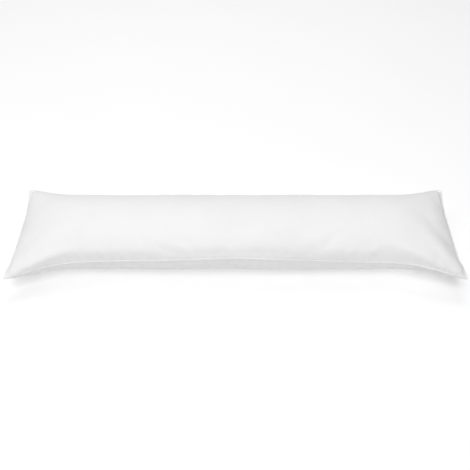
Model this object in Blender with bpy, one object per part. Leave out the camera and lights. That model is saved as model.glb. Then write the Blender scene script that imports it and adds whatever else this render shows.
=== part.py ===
"""A body pillow: two long cloth panels sewn together on all four sides and filled.

Metres, +Z up. The pillow lies on its back on z = 0 with its long side along X
and its front edge towards -Y. The origin is the middle of its footprint.
"""

import math

import bpy

# The finished pillow from corner to corner, over the seam
LENGTH = 1.425

# The filled pillow at places along its length: how far the front and back
# seams lie from the middle line, how high each seam runs, and how high the
# filling would crown between them. The first and last rows are the corners.
SECTIONS = (
    # along, front, back, front_seam, back_seam, crown
    (-0.7125, 0.1965, 0.1965, 0.070, 0.102, 0.173),
    (-0.6600, 0.1830, 0.1830, 0.077, 0.096, 0.173),
    (-0.6000, 0.1645, 0.1675, 0.087, 0.092, 0.174),
    (-0.5200, 0.1470, 0.1555, 0.092, 0.090, 0.175),
    (-0.4000, 0.1425, 0.1455, 0.097, 0.094, 0.176),
    (-0.2000, 0.1465, 0.1425, 0.105, 0.103, 0.176),
    (+0.0000, 0.1495, 0.1405, 0.117, 0.108, 0.176),
    (+0.2000, 0.1470, 0.1425, 0.106, 0.103, 0.176),
    (+0.4000, 0.1430, 0.1460, 0.094, 0.094, 0.176),
    (+0.5200, 0.1465, 0.1555, 0.091, 0.090, 0.175),
    (+0.6000, 0.1645, 0.1680, 0.086, 0.092, 0.174),
    (+0.6600, 0.1825, 0.1830, 0.077, 0.096, 0.173),
    (+0.7125, 0.1965, 0.1965, 0.069, 0.102, 0.173),
)

# How the filling thins towards the seams
END_ROLL = 0.280  # from an end seam to where the pillow has its full crown
END_ROUND = 0.59  # 0.5 is a round nose and 1 a wedge
SIDE_ROUND = 0.50
SIDE_FULLNESS = 2.1  # 2 is an ellipse and more is boxier
TIP_REACH = 0.030  # the cloth is flat at a corner's tip and is full this far from it
END_DRAW = 0.0165  # how far the filling draws in the middle of an end seam
END_DRAW_REACH = 0.200
END_DRAW_SHAPE = 3.2  # 2 is an even curve and more keeps the draw out of the corners
FRONT_CORNER = 0.019  # radii in plan, where the turned seam allowances blunt the corners
BACK_CORNER = 0.020

# How it rests on the floor
SINK = 0.012  # how far the underside would reach below it
FLOOR_BLEND = 0.008  # how high the underside is when it is free of it

# The sewn edge, which stands out all round
SEAM_PROUD = 0.0045
SEAM_THICK = 0.0050

# Folds in the two panels, each a soft ridge or, below 0, a trough. The girth
# says how far over the cloth its middle lies from the pillow's middle line,
# towards the back seam, and the turn is how far its length swings round from
# the pillow's long side towards that seam.
TOP_FOLDS = (
    # along, girth, length, width, depth, turn
    (-0.640, -0.062, 0.100, 0.032, -0.0025, +28),
    (-0.620, -0.092, 0.140, 0.050, +0.0030, +28),
    (-0.574, -0.144, 0.160, 0.048, +0.0085, +11),
    (-0.630, +0.110, 0.150, 0.056, +0.0030, -32),
    (-0.560, +0.150, 0.120, 0.046, -0.0025, -12),
    (-0.420, -0.146, 0.260, 0.044, +0.0032, +1),
    (-0.285, -0.106, 0.064, 0.030, -0.0030, -55),
    (-0.220, -0.134, 0.074, 0.032, -0.0036, -40),
    (-0.155, -0.106, 0.070, 0.030, -0.0028, -30),
    (-0.005, -0.116, 0.090, 0.038, -0.0030, -60),
    (+0.006, -0.030, 0.220, 0.100, -0.0022, 90),
    (+0.020, -0.156, 0.420, 0.036, -0.0024, 0),
    (+0.096, -0.066, 0.170, 0.090, +0.0048, 4),
    (+0.232, -0.138, 0.074, 0.030, -0.0032, +62),
    (+0.264, -0.132, 0.060, 0.026, -0.0024, +66),
    (+0.296, -0.094, 0.056, 0.028, -0.0028, +50),
    (+0.370, -0.147, 0.240, 0.044, +0.0032, -1),
    (+0.440, -0.156, 0.074, 0.030, -0.0030, +50),
    (+0.578, -0.138, 0.180, 0.050, +0.0130, -13),
    (+0.645, -0.094, 0.160, 0.050, +0.0040, -40),
    (+0.674, -0.062, 0.150, 0.056, -0.0080, -40),
    (+0.645, +0.006, 0.200, 0.056, +0.0030, 90),
    (+0.550, +0.148, 0.130, 0.048, -0.0030, +14),
    (+0.628, +0.106, 0.150, 0.056, +0.0035, +34),
)
UNDER_FOLDS = (
    # along, girth, length, width, depth, turn
    (-0.620, -0.112, 0.150, 0.060, +0.0035, +32),
    (-0.560, -0.148, 0.160, 0.044, -0.0070, +10),
    (-0.610, +0.116, 0.150, 0.060, +0.0040, -30),
    (+0.130, -0.126, 0.260, 0.050, +0.0030, 0),
    (+0.560, -0.150, 0.170, 0.046, -0.0085, -10),
    (+0.624, -0.108, 0.150, 0.060, +0.0040, -34),
    (+0.616, +0.120, 0.150, 0.060, +0.0035, +28),
)
HALF_GIRTH = 0.180  # from the middle line over the cloth to a side seam
FOLD_FADE = 0.008  # folds die out this close to a seam

# The grid: the cells along and across a panel, and how far they crowd towards
# the seams, where the cloth turns fastest
CELLS_ALONG = 88
CELLS_ACROSS = 26
CROWD_ALONG = 0.55
CROWD_ACROSS = 0.85

COTTON_WHITE = (0.88, 0.88, 0.88, 1.0)
COTTON_ROUGHNESS = 0.9


def mix(a, b, share):
    return a + (b - a) * share


def smooth(share):
    share = min(max(share, 0.0), 1.0)
    return share * share * (3 - 2 * share)


def section(along):
    """The columns of SECTIONS at a place along the pillow, on smooth curves."""
    i = 1
    while i < len(SECTIONS) - 1 and SECTIONS[i][0] < along:
        i += 1
    before, after = SECTIONS[i - 1], SECTIONS[i]
    first = SECTIONS[max(i - 2, 0)]
    last = SECTIONS[min(i + 1, len(SECTIONS) - 1)]
    step = after[0] - before[0]
    t = (along - before[0]) / step
    row = []
    for column in range(1, len(before)):
        slope_in = (after[column] - first[column]) / (after[0] - first[0]) * step
        slope_out = (last[column] - before[column]) / (last[0] - before[0]) * step
        row.append(
            (2 * t**3 - 3 * t**2 + 1) * before[column]
            + (t**3 - 2 * t**2 + t) * slope_in
            + (3 * t**2 - 2 * t**3) * after[column]
            + (t**3 - t**2) * slope_out
        )
    return row


def crowded(t, crowd):
    """A place from -1 to 1 on an even grid, moved towards the nearer end."""
    return mix(t, math.sin(math.pi / 2 * t), crowd)


def folding(folds, x, girth):
    """How far the folds raise the cloth at a place."""
    total = 0.0
    for along, middle, length, width, depth, turn in folds:
        angle = math.radians(turn)
        dx = x - along
        dg = girth - middle
        lengthwise = (dx * math.cos(angle) + dg * math.sin(angle)) / (length / 2)
        sideways = (dg * math.cos(angle) - dx * math.sin(angle)) / (width / 2)
        total += depth * math.exp(-(lengthwise**2) - sideways**2)
    return total


def on_floor(z):
    """z, levelled off where it would go through the floor."""
    if z < -FLOOR_BLEND:
        return 0.0
    if z < FLOOR_BLEND:
        return (z + FLOOR_BLEND) ** 2 / (4 * FLOOR_BLEND)
    return z


def panel_points(a, b):
    """The points of the top panel and the underside at a place on the cloth.

    Both run from -1 to 1, a along the pillow and b from its front to its back.
    """
    s = crowded(a, CROWD_ALONG)
    v = crowded(b, CROWD_ACROSS)
    half = LENGTH / 2 - SEAM_PROUD
    from_end = (1 - abs(s)) * half
    front, back, front_seam, back_seam, crown = section(s * half)

    # in plan: drawn in at the ends, and rounded at the corners
    width = front + back
    from_side = (1 - abs(v)) * width / 2
    share = (v + 1) / 2
    corner = mix(FRONT_CORNER, BACK_CORNER, share)
    near_end = max(0.0, 1 - from_end / corner)
    near_side = max(0.0, 1 - from_side / corner)
    cut = 0.0
    if near_end > 0 and near_side > 0:
        cut = corner * (1 - max(near_end, near_side) / math.hypot(near_end, near_side))
    draw = END_DRAW * (1 - abs(v) ** END_DRAW_SHAPE) * math.exp(-from_end / END_DRAW_REACH)
    x = math.copysign(half - from_end - draw - cut * near_end, s) if s else 0.0
    y = mix(-front + SEAM_PROUD, back - SEAM_PROUD, share) - math.copysign(cut * near_side, v)
    middle = mix(front_seam, back_seam, share)

    # the filling between the panels
    along = 1 - (1 - min(from_end / END_ROLL, 1.0)) ** 2
    across = max(1 - abs(v) ** SIDE_FULLNESS, 0.0)
    tip = smooth(math.hypot(from_end, from_side) / TIP_REACH)
    full = along**END_ROUND * across**SIDE_ROUND * tip
    centre = (front_seam + back_seam) / 2
    rise = (crown - centre) * full
    drop = (centre + SINK) * full

    # the folds push the cloth straight out from the middle of the section
    lean = v * math.sqrt(1 - min(full, 1.0) ** 2)
    level = math.sqrt(1 - lean * lean)
    girth = b * HALF_GIRTH
    fade = smooth((1 - abs(b)) * HALF_GIRTH / FOLD_FADE) * smooth(from_end / FOLD_FADE)
    fold = folding(TOP_FOLDS, x, girth) * fade
    top = (x, y + fold * lean, middle + SEAM_THICK / 2 + rise + fold * level)
    fold = folding(UNDER_FOLDS, x, girth) * fade
    under = (x, y + fold * lean, on_floor(middle - SEAM_THICK / 2 - drop - fold * level))
    return top, under


def edge_lines():
    """The grid places on the edge of a panel, once round from the front left."""
    front = [(i, 0) for i in range(CELLS_ALONG)]
    right = [(CELLS_ALONG, j) for j in range(CELLS_ACROSS)]
    back = [(i, CELLS_ACROSS) for i in range(CELLS_ALONG, 0, -1)]
    left = [(0, j) for j in range(CELLS_ACROSS, 0, -1)]
    return front + right + back + left


def pillow_mesh():
    vertices = []
    faces = []
    top = {}
    under = {}
    for i in range(CELLS_ALONG + 1):
        for j in range(CELLS_ACROSS + 1):
            upper, lower = panel_points(2 * i / CELLS_ALONG - 1, 2 * j / CELLS_ACROSS - 1)
            top[i, j] = len(vertices)
            under[i, j] = len(vertices) + 1
            vertices += [upper, lower]
    for i in range(CELLS_ALONG):
        for j in range(CELLS_ACROSS):
            ring = [(i, j), (i + 1, j), (i + 1, j + 1), (i, j + 1)]
            faces.append([top[place] for place in ring])
            faces.append([under[place] for place in reversed(ring)])

    # the sewn edge is a narrow band that stands out level from the two panels
    edge = edge_lines()
    sewn = []
    for k, place in enumerate(edge):
        x, y, high = vertices[top[place]]
        low = vertices[under[place]][2]
        before = vertices[top[edge[k - 1]]]
        after = vertices[top[edge[(k + 1) % len(edge)]]]
        run_x = after[0] - before[0]
        run_y = after[1] - before[1]
        reach = SEAM_PROUD / math.hypot(run_x, run_y)
        sewn.append(len(vertices))
        for share in (0.25, 0.75):
            vertices.append((x + run_y * reach, y - run_x * reach, mix(high, low, share)))
    for k, place in enumerate(edge):
        following = (k + 1) % len(edge)
        near, far = sewn[k], sewn[following]
        faces.append([top[place], near, far, top[edge[following]]])
        faces.append([near, near + 1, far + 1, far])
        faces.append([near + 1, under[place], under[edge[following]], far + 1])

    # the origin is the middle of the footprint
    middle = []
    for axis in (0, 1):
        places = [vertex[axis] for vertex in vertices]
        middle.append((min(places) + max(places)) / 2)
    vertices = [(x - middle[0], y - middle[1], z) for x, y, z in vertices]

    mesh = bpy.data.meshes.new("pillow")
    mesh.from_pydata(vertices, [], faces)
    mesh.shade_smooth()
    return mesh


def cotton():
    material = bpy.data.materials.new("white_cotton")
    material.use_nodes = True
    surface = material.node_tree.nodes["Principled BSDF"]
    surface.inputs["Base Color"].default_value = COTTON_WHITE
    surface.inputs["Roughness"].default_value = COTTON_ROUGHNESS
    surface.inputs["Metallic"].default_value = 0.0
    return material


def build():
    for old in list(bpy.data.objects):
        bpy.data.objects.remove(old)
    pillow = bpy.data.objects.new("pillow", pillow_mesh())
    pillow.data.materials.append(cotton())
    bpy.context.scene.collection.objects.link(pillow)


build()
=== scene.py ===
import math

import bpy
import numpy as np
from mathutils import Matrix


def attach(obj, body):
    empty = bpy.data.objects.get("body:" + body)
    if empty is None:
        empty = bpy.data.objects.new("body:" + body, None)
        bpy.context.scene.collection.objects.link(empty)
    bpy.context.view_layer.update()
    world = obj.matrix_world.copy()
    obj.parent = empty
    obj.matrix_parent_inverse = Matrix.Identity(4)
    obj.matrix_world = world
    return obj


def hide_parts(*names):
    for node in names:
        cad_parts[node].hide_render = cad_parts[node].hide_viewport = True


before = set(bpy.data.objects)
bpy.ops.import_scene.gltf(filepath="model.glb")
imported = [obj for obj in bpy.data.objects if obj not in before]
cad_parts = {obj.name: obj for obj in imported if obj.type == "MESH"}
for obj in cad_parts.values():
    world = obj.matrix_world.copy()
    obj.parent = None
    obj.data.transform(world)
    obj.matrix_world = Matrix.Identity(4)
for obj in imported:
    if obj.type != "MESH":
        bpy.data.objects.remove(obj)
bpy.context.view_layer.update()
scene = bpy.context.scene


# The camera. It looks along the pillow's middle from the front, 45 degrees
# above it, from about two metres away.
CAMERA_AIM = (-0.0017, 0.0, 0.0714)
CAMERA_DISTANCE = 1.949
CAMERA_ELEVATION = 45.0
CAMERA_LENS = 45.97

camera = bpy.data.objects.new("camera", bpy.data.cameras.new("camera"))
tilt = math.radians(CAMERA_ELEVATION)
camera.location = (
    CAMERA_AIM[0],
    CAMERA_AIM[1] - CAMERA_DISTANCE * math.cos(tilt),
    CAMERA_AIM[2] + CAMERA_DISTANCE * math.sin(tilt),
)
camera.rotation_euler = (math.pi / 2 - tilt, 0.0, 0.0)
camera.data.lens = CAMERA_LENS
camera.data.sensor_width = 36.0
scene.collection.objects.link(camera)
scene.camera = camera


# The filled pillow. Two long panels of plain cotton are sewn together on all
# four sides, turned right side out and filled, so the cloth crowns between
# the seams, draws them in and stands out as ears at the four corners.
PILLOW_LENGTH = 1.425
SEAM_PROUD = 0.0045
STITCHED_THICK = 0.0006  # between the two faces, pressed together by the stitches
SECTIONS = (
    # along, front, back, front_seam, back_seam, crown
    (-0.7125, 0.1965, 0.1965, 0.070, 0.102, 0.173),
    (-0.6600, 0.1830, 0.1830, 0.077, 0.096, 0.173),
    (-0.6000, 0.1645, 0.1675, 0.087, 0.092, 0.174),
    (-0.5200, 0.1470, 0.1555, 0.092, 0.090, 0.175),
    (-0.4000, 0.1425, 0.1455, 0.097, 0.094, 0.176),
    (-0.2000, 0.1465, 0.1425, 0.105, 0.103, 0.176),
    (+0.0000, 0.1495, 0.1405, 0.117, 0.108, 0.176),
    (+0.2000, 0.1470, 0.1425, 0.106, 0.103, 0.176),
    (+0.4000, 0.1430, 0.1460, 0.094, 0.094, 0.176),
    (+0.5200, 0.1465, 0.1555, 0.091, 0.090, 0.175),
    (+0.6000, 0.1645, 0.1680, 0.086, 0.092, 0.174),
    (+0.6600, 0.1825, 0.1830, 0.077, 0.096, 0.173),
    (+0.7125, 0.1965, 0.1965, 0.069, 0.102, 0.173),
)
END_ROLL = 0.280
END_ROUND = 0.59
SIDE_ROUND = 0.50
SIDE_FULLNESS = 2.1
TIP_REACH = 0.030
END_DRAW = 0.0165
END_DRAW_REACH = 0.200
END_DRAW_SHAPE = 3.2
FRONT_CORNER = 0.019
BACK_CORNER = 0.020
SINK = 0.012
FLOOR_BLEND = 0.008
HALF_GIRTH = 0.180
FOLD_FADE = 0.008
TOP_FOLDS = (
    # along, girth, length, width, depth, turn
    (-0.640, -0.062, 0.100, 0.032, -0.0025, +28),
    (-0.620, -0.092, 0.140, 0.050, +0.0030, +28),
    (-0.574, -0.144, 0.160, 0.048, +0.0085, +11),
    (-0.630, +0.110, 0.150, 0.056, +0.0030, -32),
    (-0.560, +0.150, 0.120, 0.046, -0.0025, -12),
    (-0.420, -0.146, 0.260, 0.044, +0.0032, +1),
    (-0.285, -0.106, 0.064, 0.030, -0.0030, -55),
    (-0.220, -0.134, 0.074, 0.032, -0.0036, -40),
    (-0.155, -0.106, 0.070, 0.030, -0.0028, -30),
    (-0.005, -0.116, 0.090, 0.038, -0.0030, -60),
    (+0.006, -0.030, 0.220, 0.100, -0.0022, 90),
    (+0.020, -0.156, 0.420, 0.036, -0.0024, 0),
    (+0.096, -0.066, 0.170, 0.090, +0.0048, 4),
    (+0.232, -0.138, 0.074, 0.030, -0.0032, +62),
    (+0.264, -0.132, 0.060, 0.026, -0.0024, +66),
    (+0.296, -0.094, 0.056, 0.028, -0.0028, +50),
    (+0.370, -0.147, 0.240, 0.044, +0.0032, -1),
    (+0.440, -0.156, 0.074, 0.030, -0.0030, +50),
    (+0.578, -0.138, 0.180, 0.050, +0.0130, -13),
    (+0.645, -0.094, 0.160, 0.050, +0.0040, -40),
    (+0.674, -0.062, 0.150, 0.056, -0.0080, -40),
    (+0.645, +0.006, 0.200, 0.056, +0.0030, 90),
    (+0.550, +0.148, 0.130, 0.048, -0.0030, +14),
    (+0.628, +0.106, 0.150, 0.056, +0.0035, +34),
)
UNDER_FOLDS = (
    # along, girth, length, width, depth, turn
    (-0.620, -0.112, 0.150, 0.060, +0.0035, +32),
    (-0.560, -0.148, 0.160, 0.044, -0.0070, +10),
    (-0.610, +0.116, 0.150, 0.060, +0.0040, -30),
    (+0.130, -0.126, 0.260, 0.050, +0.0030, 0),
    (+0.560, -0.150, 0.170, 0.046, -0.0085, -10),
    (+0.624, -0.108, 0.150, 0.060, +0.0040, -34),
    (+0.616, +0.120, 0.150, 0.060, +0.0035, +28),
)
CELLS_ALONG = 216
CELLS_ACROSS = 56
CROWD_ALONG = 0.55
CROWD_ACROSS = 0.85
UNDERSIDE_SHIFT = 2.0  # on the UV map, so that the two panels have slubs of their own


def mix(a, b, share):
    return a + (b - a) * share


def smooth(share):
    share = np.clip(share, 0.0, 1.0)
    return share * share * (3 - 2 * share)


def crowded(t, crowd):
    return mix(t, np.sin(np.pi / 2 * t), crowd)


def section(along):
    """The columns of SECTIONS at places along the pillow, on smooth curves."""
    rows = np.array(SECTIONS)
    place = rows[:, 0]
    slope = np.empty_like(rows)
    slope[1:-1] = (rows[2:] - rows[:-2]) / (place[2:] - place[:-2])[:, None]
    slope[0] = (rows[1] - rows[0]) / (place[1] - place[0])
    slope[-1] = (rows[-1] - rows[-2]) / (place[-1] - place[-2])
    i = np.clip(np.searchsorted(place, along) - 1, 0, len(place) - 2)
    step = place[i + 1] - place[i]
    t = ((along - place[i]) / step)[:, None]
    step = step[:, None]
    curve = (
        (2 * t**3 - 3 * t**2 + 1) * rows[i]
        + (t**3 - 2 * t**2 + t) * slope[i] * step
        + (3 * t**2 - 2 * t**3) * rows[i + 1]
        + (t**3 - t**2) * slope[i + 1] * step
    )
    return curve[:, 1:].T[:, :, None]


def folding(folds, x, girth):
    """How far the folds raise the cloth at each place."""
    total = np.zeros_like(x)
    for along, middle, length, width, depth, turn in folds:
        angle = math.radians(turn)
        dx = x - along
        dg = girth - middle
        lengthwise = (dx * math.cos(angle) + dg * math.sin(angle)) / (length / 2)
        sideways = (dg * math.cos(angle) - dx * math.sin(angle)) / (width / 2)
        total += depth * np.exp(-(lengthwise**2) - sideways**2)
    return total


def on_floor(z):
    """z, levelled off where it would go through the floor."""
    curved = (z + FLOOR_BLEND) ** 2 / (4 * FLOOR_BLEND)
    return np.where(z < -FLOOR_BLEND, 0.0, np.where(z < FLOOR_BLEND, curved, z))


def panel_grids(top_folds, under_folds):
    """The top panel and the underside, each a grid of points along and across."""
    a = np.linspace(-1, 1, CELLS_ALONG + 1)
    b = np.linspace(-1, 1, CELLS_ACROSS + 1)[None, :]
    s = crowded(a, CROWD_ALONG)[:, None]
    v = crowded(b, CROWD_ACROSS)
    half = PILLOW_LENGTH / 2 - SEAM_PROUD
    from_end = (1 - abs(s)) * half
    front, back, front_seam, back_seam, crown = section(s[:, 0] * half)

    from_side = (1 - abs(v)) * (front + back) / 2
    share = (v + 1) / 2
    corner = mix(FRONT_CORNER, BACK_CORNER, share)
    near_end = np.maximum(0, 1 - from_end / corner)
    near_side = np.maximum(0, 1 - from_side / corner)
    reach = np.maximum(np.hypot(near_end, near_side), 1e-9)
    cut = corner * (1 - np.maximum(near_end, near_side) / reach)
    cut = np.where((near_end > 0) & (near_side > 0), cut, 0)
    draw = END_DRAW * (1 - abs(v) ** END_DRAW_SHAPE) * np.exp(-from_end / END_DRAW_REACH)
    x = np.sign(s) * (half - from_end - draw - cut * near_end)
    y = mix(-front + SEAM_PROUD, back - SEAM_PROUD, share) - np.sign(v) * cut * near_side
    middle = mix(front_seam, back_seam, share)

    along = 1 - (1 - np.minimum(from_end / END_ROLL, 1)) ** 2
    across = np.maximum(1 - abs(v) ** SIDE_FULLNESS, 0)
    tip = smooth(np.hypot(from_end, from_side) / TIP_REACH)
    full = along**END_ROUND * across**SIDE_ROUND * tip
    centre = (front_seam + back_seam) / 2
    rise = (crown - centre) * full
    drop = (centre + SINK) * full

    lean = v * np.sqrt(1 - np.minimum(full, 1) ** 2)
    level = np.sqrt(1 - lean**2)
    girth = b * HALF_GIRTH + 0 * s
    fade = smooth((1 - abs(b)) * HALF_GIRTH / FOLD_FADE) * smooth(from_end / FOLD_FADE)
    fold = folding(top_folds, x, girth) * fade
    top = np.stack([x, y + fold * lean, middle + STITCHED_THICK / 2 + rise + fold * level], -1)
    fold = folding(under_folds, x, girth) * fade
    under_z = on_floor(middle - STITCHED_THICK / 2 - drop - fold * level)
    under = np.stack([x, y + fold * lean, under_z], -1)
    return top, under


def edge_places():
    """The grid places on a panel's edge, once round from the front left."""
    front = [(i, 0) for i in range(CELLS_ALONG)]
    right = [(CELLS_ALONG, j) for j in range(CELLS_ACROSS)]
    back = [(i, CELLS_ACROSS) for i in range(CELLS_ALONG, 0, -1)]
    left = [(0, j) for j in range(CELLS_ACROSS, 0, -1)]
    return front + right + back + left


def panels_mesh(top, under):
    """The two panels as one closed mesh, joined along their edges, with the
    cloth's own measure in metres as its UV map."""
    columns = CELLS_ACROSS + 1
    count = (CELLS_ALONG + 1) * columns
    vertices = np.concatenate([top.reshape(-1, 3), under.reshape(-1, 3)])
    faces = []
    for i in range(CELLS_ALONG):
        for j in range(CELLS_ACROSS):
            first = i * columns + j
            ring = [first, first + columns, first + columns + 1, first + 1]
            faces.append(ring)
            faces.append([count + k for k in reversed(ring)])
    edge = [i * columns + j for i, j in edge_places()]
    for here, there in zip(edge, edge[1:] + edge[:1]):
        faces.append([here, count + here, count + there, there])
    mesh = bpy.data.meshes.new("pillow_cloth")
    mesh.from_pydata(vertices.tolist(), [], faces)

    run = np.linspace(-1, 1, CELLS_ALONG + 1)
    run = crowded(run, CROWD_ALONG)[:, None] * (PILLOW_LENGTH / 2)
    girth = np.linspace(-1, 1, CELLS_ACROSS + 1)[None, :] * HALF_GIRTH
    flat = np.stack([run + 0 * girth, girth + 0 * run], -1).reshape(-1, 2)
    flat = np.concatenate([flat, flat + [UNDERSIDE_SHIFT, 0.0]])
    corners = np.empty(len(mesh.loops), dtype=np.int32)
    mesh.loops.foreach_get("vertex_index", corners)
    layer = mesh.uv_layers.new(name="cloth")
    layer.data.foreach_set("uv", flat[corners].ravel())
    mesh.shade_smooth()
    return mesh


# The cloth is a little longer than its seams, and the filling pushes it out
# against them, so it puckers. The simulation finds those puckers.
FILLING_PRESSURE = 4.0
SPARE_CLOTH = 0.02
STRETCH_STIFFNESS = 15
SHEAR_STIFFNESS = 5
BENDING_STIFFNESS = 0.4
POINT_MASS = 0.1
AIR_DAMPING = 2
STEPS_PER_FRAME = 6
PUCKER_FRAMES = 20
PUCKER_WIDTH = 0.024  # what is broader than this is crown, and is left out
PUCKER_CAP = 0.0022
PUCKER_REACH = 0.085  # from a seam to where the cloth is drawn smooth
SMOOTH_SHARE = 0.25  # of the puckers, that is kept there
PUCKER_CLEAR = 0.02  # above the floor, from where the underside puckers in full


def simulated(mesh):
    """Where the mesh's points go when filling presses the spare cloth outwards."""
    cloth = bpy.data.objects.new("cloth_study", mesh)
    scene.collection.objects.link(cloth)
    rest = np.empty(len(mesh.vertices) * 3)
    mesh.vertices.foreach_get("co", rest)
    count = (CELLS_ALONG + 1) * (CELLS_ACROSS + 1)
    edge = [i * (CELLS_ACROSS + 1) + j for i, j in edge_places()]
    seam = cloth.vertex_groups.new(name="seam")
    seam.add(edge + [count + k for k in edge], 1.0, "REPLACE")
    settings = cloth.modifiers.new("filling", "CLOTH").settings
    settings.quality = STEPS_PER_FRAME
    settings.mass = POINT_MASS
    settings.tension_stiffness = STRETCH_STIFFNESS
    settings.compression_stiffness = STRETCH_STIFFNESS
    settings.shear_stiffness = SHEAR_STIFFNESS
    settings.bending_stiffness = BENDING_STIFFNESS
    settings.air_damping = AIR_DAMPING
    settings.shrink_min = -SPARE_CLOTH
    settings.use_pressure = True
    settings.uniform_pressure_force = FILLING_PRESSURE
    settings.vertex_group_mass = "seam"
    settings.effector_weights.gravity = 0
    for number in range(1, PUCKER_FRAMES + 1):
        scene.frame_set(number)
    shown = cloth.evaluated_get(bpy.context.evaluated_depsgraph_get()).to_mesh()
    moved = np.empty_like(rest)
    shown.vertices.foreach_get("co", moved)
    scene.frame_set(1)
    bpy.data.objects.remove(cloth)
    return (moved - rest).reshape(2, CELLS_ALONG + 1, CELLS_ACROSS + 1, 3)


def evened(grid, width):
    """The grid with all that is narrower than the width taken out."""
    for axis, reach in ((1, PILLOW_LENGTH / CELLS_ALONG), (2, 2 * HALF_GIRTH / CELLS_ACROSS)):
        steps = width / reach
        around = np.arange(-int(3 * steps), int(3 * steps) + 1)
        weight = np.exp(-((around / steps) ** 2))
        weight /= weight.sum()
        size = grid.shape[axis]
        total = np.zeros_like(grid)
        for offset, share in zip(around, weight):
            place = np.clip(np.arange(size) + offset, 0, size - 1)
            total += share * np.take(grid, place, axis)
        grid = total
    return grid


top_grid, under_grid = panel_grids(TOP_FOLDS, UNDER_FOLDS)
plain_top, plain_under = panel_grids((), ())
pucker = simulated(panels_mesh(plain_top, plain_under))
pucker -= evened(pucker, PUCKER_WIDTH)
pucker = PUCKER_CAP * np.tanh(pucker / PUCKER_CAP)
from_side = (1 - abs(np.linspace(-1, 1, CELLS_ACROSS + 1)))[None, :] * HALF_GIRTH
from_end = (1 - abs(np.linspace(-1, 1, CELLS_ALONG + 1)))[:, None] * PILLOW_LENGTH / 2
smooth_share = smooth(np.minimum(from_side, from_end) / PUCKER_REACH)
pucker *= mix(1.0, SMOOTH_SHARE, smooth_share)[None, :, :, None]
top_grid += pucker[0]
under_grid += pucker[1] * smooth(under_grid[:, :, 2:] / PUCKER_CLEAR)
pillow = bpy.data.objects.new("pillow_cloth", panels_mesh(top_grid, under_grid))
scene.collection.objects.link(pillow)


def linear(hex_colour):
    """An sRGB hex colour as the linear values that Blender's sockets take."""
    parts = [int(hex_colour[i : i + 2], 16) / 255 for i in (0, 2, 4)]
    return [c / 12.92 if c <= 0.04045 else ((c + 0.055) / 1.055) ** 2.4 for c in parts] + [1.0]


def add(tree, kind, links=(), settings=(), values=()):
    """A new node with its settings, its sockets' values, and links into it."""
    node = tree.nodes.new(kind)
    for name, value in dict(settings).items():
        setattr(node, name, value)
    for socket, value in dict(values).items():
        node.inputs[socket].default_value = value
    for socket, source in dict(links).items():
        tree.links.new(source, node.inputs[socket])
    return node


# White cotton percale, a plain weave of fine even threads, bleached and calendered.
# It looks matt and even, with a faint bloom at the edges and a fine grain of
# threads and slubs. Its threads are 0.25 mm apart, which is too fine to show, so
# they are drawn eight times as coarse. The gaps between the threads carry painted
# shade: the colour is made slightly darker there, as if in the weave's hollows.
THREAD_SPACING = 0.0020
THREAD_HEIGHT = 0.00010
SLUB_LENGTH = 0.030
SLUB_WIDTH = 0.003
SLUB_HEIGHT = 0.00012
RUMPLE_SIZE = 0.045
RUMPLE_HEIGHT = 0.0011
PATCHES_PER_METRE = 7.0
THREAD_GAP_PAINTED_SHADE = 0.975
cotton = bpy.data.materials.new("white_cotton_percale")
cotton.use_nodes = True
tree = cotton.node_tree
surface = tree.nodes["Principled BSDF"]
surface.inputs["IOR"].default_value = 1.45
surface.inputs["Specular IOR Level"].default_value = 0.30
surface.inputs["Sheen Weight"].default_value = 0.12
surface.inputs["Sheen Roughness"].default_value = 0.50

cloth_place = add(tree, "ShaderNodeUVMap", settings={"uv_map": "cloth"})
threads = add(
    tree,
    "ShaderNodeVectorMath",
    {0: cloth_place.outputs["UV"]},
    {"operation": "SCALE"},
    {"Scale": 1 / THREAD_SPACING},
)
crossing = add(
    tree, "ShaderNodeTexChecker", {"Vector": threads.outputs["Vector"]}, values={"Scale": 1.0}
)
half_turn = add(
    tree,
    "ShaderNodeVectorMath",
    {0: threads.outputs["Vector"]},
    {"operation": "SCALE"},
    {"Scale": math.pi},
)
wave = add(tree, "ShaderNodeVectorMath", {0: half_turn.outputs["Vector"]}, {"operation": "SINE"})
round_threads = add(tree, "ShaderNodeVectorMath", {0: wave.outputs["Vector"]}, {"operation": "ABSOLUTE"})
each = add(tree, "ShaderNodeSeparateXYZ", {"Vector": round_threads.outputs["Vector"]})
weave = add(
    tree,
    "ShaderNodeMix",
    {"Factor": crossing.outputs["Fac"], 2: each.outputs["X"], 3: each.outputs["Y"]},
)

slub_place = add(
    tree,
    "ShaderNodeMapping",
    {"Vector": cloth_place.outputs["UV"]},
    values={"Scale": (1 / SLUB_LENGTH, 1 / SLUB_WIDTH, 1.0)},
)
slubs = add(
    tree,
    "ShaderNodeTexNoise",
    {"Vector": slub_place.outputs["Vector"]},
    values={"Scale": 1.0, "Detail": 2.0, "Roughness": 0.5},
)
body_place = add(tree, "ShaderNodeTexCoord")
rumples = add(
    tree,
    "ShaderNodeTexNoise",
    {"Vector": body_place.outputs["Object"]},
    values={"Scale": 1 / RUMPLE_SIZE, "Detail": 3.0, "Roughness": 0.45, "Distortion": 0.4},
)
patches = add(
    tree,
    "ShaderNodeTexNoise",
    {"Vector": body_place.outputs["Object"]},
    values={"Scale": PATCHES_PER_METRE, "Detail": 2.0},
)

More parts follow.
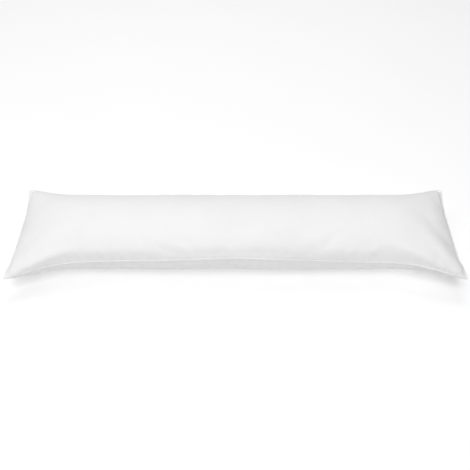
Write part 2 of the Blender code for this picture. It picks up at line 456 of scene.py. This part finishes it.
tint = add(tree, "ShaderNodeMix", {"Factor": patches.outputs["Fac"]}, {"data_type": "RGBA"})
tint.inputs[6].default_value = linear("EDEDED")
tint.inputs[7].default_value = linear("F4F4F4")
# Painted shade: the colour is darkened by up to 2.5 per cent in the gaps between the threads, where the weave
# dips.
thread_gap_painted_shade = add(
    tree,
    "ShaderNodeMapRange",
    {"Value": weave.outputs[0]},
    values={"To Min": THREAD_GAP_PAINTED_SHADE, "To Max": 1.0},
)
colour = add(
    tree,
    "ShaderNodeMix",
    {6: tint.outputs[2], 7: thread_gap_painted_shade.outputs["Result"]},
    {"data_type": "RGBA", "blend_type": "MULTIPLY"},
    {"Factor": 1.0},
)
tree.links.new(colour.outputs[2], surface.inputs["Base Color"])
dullness = add(
    tree,
    "ShaderNodeMapRange",
    {"Value": slubs.outputs["Fac"]},
    values={"To Min": 0.80, "To Max": 0.92},
)
tree.links.new(dullness.outputs["Result"], surface.inputs["Roughness"])

rumple_bump = add(
    tree,
    "ShaderNodeBump",
    {"Height": rumples.outputs["Fac"]},
    values={"Distance": RUMPLE_HEIGHT},
)
slub_bump = add(
    tree,
    "ShaderNodeBump",
    {"Height": slubs.outputs["Fac"], "Normal": rumple_bump.outputs["Normal"]},
    values={"Distance": SLUB_HEIGHT},
)
thread_bump = add(
    tree,
    "ShaderNodeBump",
    {"Height": weave.outputs[0], "Normal": slub_bump.outputs["Normal"]},
    values={"Distance": THREAD_HEIGHT},
)
tree.links.new(thread_bump.outputs["Normal"], surface.inputs["Normal"])
pillow.data.materials.append(cotton)

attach(pillow, "root")
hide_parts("pillow")


# The sewn edge. The seam allowances turn inwards and fill a narrow rolled edge
# of the panels' own cotton all round, which shows as a low soft ridge. The ears
# pull it flat, and its folds bunch up at the corner tips, most at the front ones.
EDGE_WIDTH = 0.0050
EDGE_THICK = 0.0060
EDGE_GIRTH = 0.0174  # once round the roll
EDGE_OUTSET = -0.0002  # from the line where the panels meet to the middle of the roll
EDGE_STEP = 0.003
EDGE_SLIM = 0.12  # share of its full size, along the ears
EDGE_FULL_TO = 0.22  # along the pillow from its middle, as the three below
EDGE_SLIM_FROM = 0.46
EDGE_TIP_FROM = 0.690
EDGE_TIP_TO = 0.702
EDGE_FRONT_TIP = 2.6  # times its full size, at the two front tips
EDGE_BACK_TIP = 1.3
EDGE_TIP_SIDE = 0.15  # across the pillow, from where a tip takes its own side's share in full
EDGE_RIPPLE = 0.0010
EDGE_RIPPLE_LENGTH = 0.030

edge_grid = (top_grid + under_grid) / 2
edge_points = [tuple(edge_grid[place]) for place in edge_places()]
edge_path = bpy.data.meshes.new("seam_line")
edge_path.from_pydata(edge_points, [(k, (k + 1) % len(edge_points)) for k in range(len(edge_points))], [])


def new_tree(name, inputs):
    """An empty Geometry Nodes tree with its inputs, and its two end nodes."""
    tree = bpy.data.node_groups.new(name, "GeometryNodeTree")
    tree.interface.new_socket("Geometry", in_out="INPUT", socket_type="NodeSocketGeometry")
    for label, kind in inputs.items():
        tree.interface.new_socket(label, in_out="INPUT", socket_type=kind)
    tree.interface.new_socket("Geometry", in_out="OUTPUT", socket_type="NodeSocketGeometry")
    return tree, tree.nodes.new("NodeGroupInput"), tree.nodes.new("NodeGroupOutput")


def grown(name, path, tree, sizes):
    """The plain mesh object that a tree grows along a path."""
    piece = bpy.data.objects.new(name, path)
    scene.collection.objects.link(piece)
    modifier = piece.modifiers.new("grown", "NODES")
    modifier.node_group = tree
    for socket in tree.interface.items_tree:
        if socket.in_out == "INPUT" and socket.name in sizes:
            modifier[socket.identifier] = sizes[socket.name]
    shown = piece.evaluated_get(bpy.context.evaluated_depsgraph_get())
    mesh = bpy.data.meshes.new_from_object(shown)
    piece.modifiers.remove(modifier)
    piece.data = mesh
    return piece


SIZE = "NodeSocketFloat"
tree, given, made = new_tree(
    "rolled_edge",
    {
        "Width": SIZE,
        "Thickness": SIZE,
        "Girth": SIZE,
        "Outset": SIZE,
        "Step": SIZE,
        "Full To": SIZE,
        "Slim From": SIZE,
        "Slim Share": SIZE,
        "Tip From": SIZE,
        "Tip To": SIZE,
        "Front Tip Share": SIZE,
        "Back Tip Share": SIZE,
        "Tip Side": SIZE,
        "Ripple": SIZE,
        "Ripple Length": SIZE,
        "Cloth": "NodeSocketMaterial",
    },
)
line = add(tree, "GeometryNodeMeshToCurve", {"Mesh": given.outputs["Geometry"]})
even_line = add(
    tree,
    "GeometryNodeResampleCurve",
    {"Curve": line.outputs["Curve"], "Length": given.outputs["Step"]},
    {"mode": "LENGTH"},
)
level_line = add(tree, "GeometryNodeSetCurveNormal", {"Curve": even_line.outputs["Curve"]}, {"mode": "Z_UP"})

place = add(tree, "GeometryNodeInputPosition")
frequency = add(
    tree, "ShaderNodeMath", {1: given.outputs["Ripple Length"]}, {"operation": "DIVIDE"}, {0: 1.0}
)
ripple = add(
    tree,
    "ShaderNodeTexNoise",
    {"Vector": place.outputs["Position"], "Scale": frequency.outputs["Value"]},
    values={"Detail": 1.0},
)
centred = add(
    tree, "ShaderNodeVectorMath", {0: ripple.outputs["Color"]}, {"operation": "SUBTRACT"}, {1: (0.5, 0.5, 0.5)}
)
sized = add(
    tree,
    "ShaderNodeVectorMath",
    {0: centred.outputs["Vector"], "Scale": given.outputs["Ripple"]},
    {"operation": "SCALE"},
)
rippled = add(
    tree, "GeometryNodeSetPosition", {"Geometry": level_line.outputs["Curve"], "Offset": sized.outputs["Vector"]}
)

axes = add(tree, "ShaderNodeSeparateXYZ", {"Vector": place.outputs["Position"]})
from_middle = add(tree, "ShaderNodeMath", {0: axes.outputs["X"]}, {"operation": "ABSOLUTE"})
slimmed = add(
    tree,
    "ShaderNodeMapRange",
    {
        "Value": from_middle.outputs["Value"],
        "From Min": given.outputs["Full To"],
        "From Max": given.outputs["Slim From"],
        "To Max": given.outputs["Slim Share"],
    },
    {"interpolation_type": "SMOOTHSTEP"},
    {"To Min": 1.0},
)
front_side = add(tree, "ShaderNodeMath", {0: given.outputs["Tip Side"]}, {"operation": "MULTIPLY"}, {1: -1.0})
tip_share = add(
    tree,
    "ShaderNodeMapRange",
    {
        "Value": axes.outputs["Y"],
        "From Min": front_side.outputs["Value"],
        "From Max": given.outputs["Tip Side"],
        "To Min": given.outputs["Front Tip Share"],
        "To Max": given.outputs["Back Tip Share"],
    },
)
bunched = add(
    tree,
    "ShaderNodeMapRange",
    {
        "Value": from_middle.outputs["Value"],
        "From Min": given.outputs["Tip From"],
        "From Max": given.outputs["Tip To"],
        "To Max": tip_share.outputs["Result"],
    },
    {"interpolation_type": "SMOOTHSTEP"},
    {"To Min": 0.0},
)
fullness = add(
    tree,
    "ShaderNodeMath",
    {0: slimmed.outputs["Result"], 1: bunched.outputs["Result"]},
    {"operation": "MAXIMUM"},
)
drawn = add(
    tree, "GeometryNodeSetCurveRadius", {"Curve": rippled.outputs["Geometry"], "Radius": fullness.outputs["Value"]}
)
run = add(tree, "GeometryNodeSplineParameter")
measured = add(tree, "GeometryNodeCaptureAttribute", {"Geometry": drawn.outputs["Curve"]})
measured.capture_items.new("FLOAT", "Run")
tree.links.new(run.outputs["Length"], measured.inputs["Run"])

ring = add(tree, "GeometryNodeCurvePrimitiveCircle", values={"Resolution": 12, "Radius": 0.5})
ring_size = add(
    tree, "ShaderNodeCombineXYZ", {"X": given.outputs["Width"], "Y": given.outputs["Thickness"]}, values={"Z": 1.0}
)
ring_place = add(tree, "ShaderNodeCombineXYZ", {"X": given.outputs["Outset"]})
section_ring = add(
    tree,
    "GeometryNodeTransform",
    {
        "Geometry": ring.outputs["Curve"],
        "Scale": ring_size.outputs["Vector"],
        "Translation": ring_place.outputs["Vector"],
    },
)
wrapped = add(tree, "GeometryNodeCaptureAttribute", {"Geometry": section_ring.outputs["Geometry"]})
wrapped.capture_items.new("FLOAT", "Wrap")
tree.links.new(run.outputs["Factor"], wrapped.inputs["Wrap"])
around = add(
    tree,
    "ShaderNodeMath",
    {0: wrapped.outputs["Wrap"], 1: given.outputs["Girth"]},
    {"operation": "MULTIPLY"},
)
roll = add(
    tree,
    "GeometryNodeCurveToMesh",
    {"Curve": measured.outputs["Geometry"], "Profile Curve": wrapped.outputs["Geometry"]},
)
flat = add(tree, "ShaderNodeCombineXYZ", {"X": measured.outputs["Run"], "Y": around.outputs["Value"]})
mapped = add(
    tree,
    "GeometryNodeStoreNamedAttribute",
    {"Geometry": roll.outputs["Mesh"], "Value": flat.outputs["Vector"]},
    {"data_type": "FLOAT2", "domain": "CORNER"},
    {"Name": "cloth"},
)
rounded = add(tree, "GeometryNodeSetShadeSmooth", {"Geometry": mapped.outputs["Geometry"]})
joined = add(tree, "GeometryNodeRealizeInstances", {"Geometry": rounded.outputs["Geometry"]})
finished = add(
    tree,
    "GeometryNodeSetMaterial",
    {"Geometry": joined.outputs["Geometry"], "Material": given.outputs["Cloth"]},
)
tree.links.new(finished.outputs["Geometry"], made.inputs["Geometry"])
sewn_edge = grown(
    "sewn_edge",
    edge_path,
    tree,
    {
        "Width": EDGE_WIDTH,
        "Thickness": EDGE_THICK,
        "Girth": EDGE_GIRTH,
        "Outset": EDGE_OUTSET,
        "Step": EDGE_STEP,
        "Full To": EDGE_FULL_TO,
        "Slim From": EDGE_SLIM_FROM,
        "Slim Share": EDGE_SLIM,
        "Tip From": EDGE_TIP_FROM,
        "Tip To": EDGE_TIP_TO,
        "Front Tip Share": EDGE_FRONT_TIP,
        "Back Tip Share": EDGE_BACK_TIP,
        "Tip Side": EDGE_TIP_SIDE,
        "Ripple": EDGE_RIPPLE,
        "Ripple Length": EDGE_RIPPLE_LENGTH,
        "Cloth": cotton,
    },
)
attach(sewn_edge, "root")


# The stitches. One line of white lockstitch runs through both panels behind the
# rolled edge, so a row of short bars lies on the top panel and one on the
# underside, each bar pressed halfway into the cloth.
STITCH_SPACING = 0.0036
STITCH_LENGTH = 0.0030
STITCH_THICK = 0.0006
STITCH_INSET = 0.0030  # over the cloth, from the panel's edge


def stitch_line(grid):
    """The points on a panel that lie a stitch's inset in from its edge."""
    points = []
    for i, j in edge_places():
        inner = min(max(i, 1), CELLS_ALONG - 1), min(max(j, 1), CELLS_ACROSS - 1)
        inwards = grid[inner] - grid[i, j]
        points.append(grid[i, j] + inwards * STITCH_INSET / np.linalg.norm(inwards))
    return points


rows = [stitch_line(top_grid), stitch_line(under_grid)]
count = len(rows[0])
stitch_path = bpy.data.meshes.new("stitch_lines")
stitch_path.from_pydata(
    [tuple(point) for row in rows for point in row],
    [(first + k, first + (k + 1) % count) for first in (0, count) for k in range(count)],
    [],
)

# Spun polyester sewing thread, bleached white. It looks a little brighter and
# smoother than the cotton. It is 0.3 mm thick, and is drawn twice as thick so
# that its stitches show at all.
thread = bpy.data.materials.new("white_sewing_thread")
thread.use_nodes = True
tree = thread.node_tree
surface = tree.nodes["Principled BSDF"]
surface.inputs["IOR"].default_value = 1.55
surface.inputs["Specular IOR Level"].default_value = 0.35
surface.inputs["Sheen Weight"].default_value = 0.15
place = add(tree, "ShaderNodeTexCoord")
fibres = add(
    tree,
    "ShaderNodeTexNoise",
    {"Vector": place.outputs["Object"]},
    values={"Scale": 1 / STITCH_THICK, "Detail": 1.0},
)
tint = add(tree, "ShaderNodeMix", {"Factor": fibres.outputs["Fac"]}, {"data_type": "RGBA"})
tint.inputs[6].default_value = linear("E9E9E9")
tint.inputs[7].default_value = linear("F6F6F6")
tree.links.new(tint.outputs[2], surface.inputs["Base Color"])
gloss = add(tree, "ShaderNodeMapRange", {"Value": fibres.outputs["Fac"]}, values={"To Min": 0.50, "To Max": 0.65})
tree.links.new(gloss.outputs["Result"], surface.inputs["Roughness"])

tree, given, made = new_tree(
    "lockstitch",
    {"Spacing": SIZE, "Length": SIZE, "Thickness": SIZE, "Thread": "NodeSocketMaterial"},
)
line = add(tree, "GeometryNodeMeshToCurve", {"Mesh": given.outputs["Geometry"]})
spaced = add(
    tree,
    "GeometryNodeResampleCurve",
    {"Curve": line.outputs["Curve"], "Length": given.outputs["Spacing"]},
    {"mode": "LENGTH"},
)
direction = add(tree, "GeometryNodeInputTangent")
aligned = add(tree, "FunctionNodeAlignRotationToVector", {"Vector": direction.outputs["Tangent"]}, {"axis": "Z"})
bar = add(tree, "GeometryNodeMeshUVSphere", values={"Segments": 6, "Rings": 4, "Radius": 0.5})
smooth_bar = add(tree, "GeometryNodeSetShadeSmooth", {"Geometry": bar.outputs["Mesh"]})
bar_size = add(
    tree,
    "ShaderNodeCombineXYZ",
    {"X": given.outputs["Thickness"], "Y": given.outputs["Thickness"], "Z": given.outputs["Length"]},
)
bars = add(
    tree,
    "GeometryNodeInstanceOnPoints",
    {
        "Points": spaced.outputs["Curve"],
        "Instance": smooth_bar.outputs["Geometry"],
        "Rotation": aligned.outputs["Rotation"],
        "Scale": bar_size.outputs["Vector"],
    },
)
joined = add(tree, "GeometryNodeRealizeInstances", {"Geometry": bars.outputs["Instances"]})
finished = add(
    tree,
    "GeometryNodeSetMaterial",
    {"Geometry": joined.outputs["Geometry"], "Material": given.outputs["Thread"]},
)
tree.links.new(finished.outputs["Geometry"], made.inputs["Geometry"])
stitches = grown(
    "stitches",
    stitch_path,
    tree,
    {"Spacing": STITCH_SPACING, "Length": STITCH_LENGTH, "Thickness": STITCH_THICK, "Thread": thread},
)
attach(stitches, "root")


# The floor is one wide sheet of opal acrylic on a light table. It glows evenly
# from below, so it stays white up to the pillow and takes only a faint shadow.
FLOOR_SIZE = 40.0
CLOUD_SIZE = 0.35
GLOW = 0.40
half_floor = FLOOR_SIZE / 2
floor_mesh = bpy.data.meshes.new("floor")
floor_corners = [(x * half_floor, y * half_floor, 0) for x, y in ((-1, -1), (1, -1), (1, 1), (-1, 1))]
floor_mesh.from_pydata(floor_corners, [], [(0, 1, 2, 3)])
floor = bpy.data.objects.new("floor", floor_mesh)
scene.collection.objects.link(floor)
opal = bpy.data.materials.new("white_opal_acrylic")
opal.use_nodes = True
tree = opal.node_tree
surface = tree.nodes["Principled BSDF"]
surface.inputs["Roughness"].default_value = 1.0
surface.inputs["Specular IOR Level"].default_value = 0.0
surface.inputs["Emission Color"].default_value = linear("FFFFFF")
surface.inputs["Emission Strength"].default_value = GLOW
place = add(tree, "ShaderNodeTexCoord")
clouds = add(
    tree,
    "ShaderNodeTexNoise",
    {"Vector": place.outputs["Object"]},
    values={"Scale": 1 / CLOUD_SIZE, "Detail": 3.0},
)
tint = add(tree, "ShaderNodeMix", {"Factor": clouds.outputs["Fac"]}, {"data_type": "RGBA"})
tint.inputs[6].default_value = linear("CACACA")
tint.inputs[7].default_value = linear("CECECE")
tree.links.new(tint.outputs[2], surface.inputs["Base Color"])
floor.data.materials.append(opal)


# The studio is dim and white. Three broad softboxes light the pillow, a strong
# one from the front, one from behind and a weak one from the left.
world = bpy.data.worlds.new("studio")
world.use_nodes = True
world.node_tree.nodes["Background"].inputs["Color"].default_value = linear("FFFFFF")
world.node_tree.nodes["Background"].inputs["Strength"].default_value = 0.05
scene.world = world

SOFTBOXES = (
    # name, bearing from the front in degrees, elevation in degrees, energy in watts
    ("front_softbox", 0, 60, 226),
    ("left_softbox", -90, 60, 81),
    ("back_softbox", 180, 60, 123),
)
SOFTBOX_SIZE = 3.0
SOFTBOX_DISTANCE = 6.0
for name, bearing, elevation, energy in SOFTBOXES:
    softbox = bpy.data.objects.new(name, bpy.data.lights.new(name, "AREA"))
    softbox.data.shape = "SQUARE"
    softbox.data.size = SOFTBOX_SIZE
    softbox.data.energy = energy
    bearing, elevation = math.radians(bearing), math.radians(elevation)
    softbox.location = (
        SOFTBOX_DISTANCE * math.sin(bearing) * math.cos(elevation),
        -SOFTBOX_DISTANCE * math.cos(bearing) * math.cos(elevation),
        SOFTBOX_DISTANCE * math.sin(elevation),
    )
    softbox.rotation_euler = softbox.location.to_track_quat("Z", "Y").to_euler()
    scene.collection.objects.link(softbox)

scene.view_settings.view_transform = "Standard"
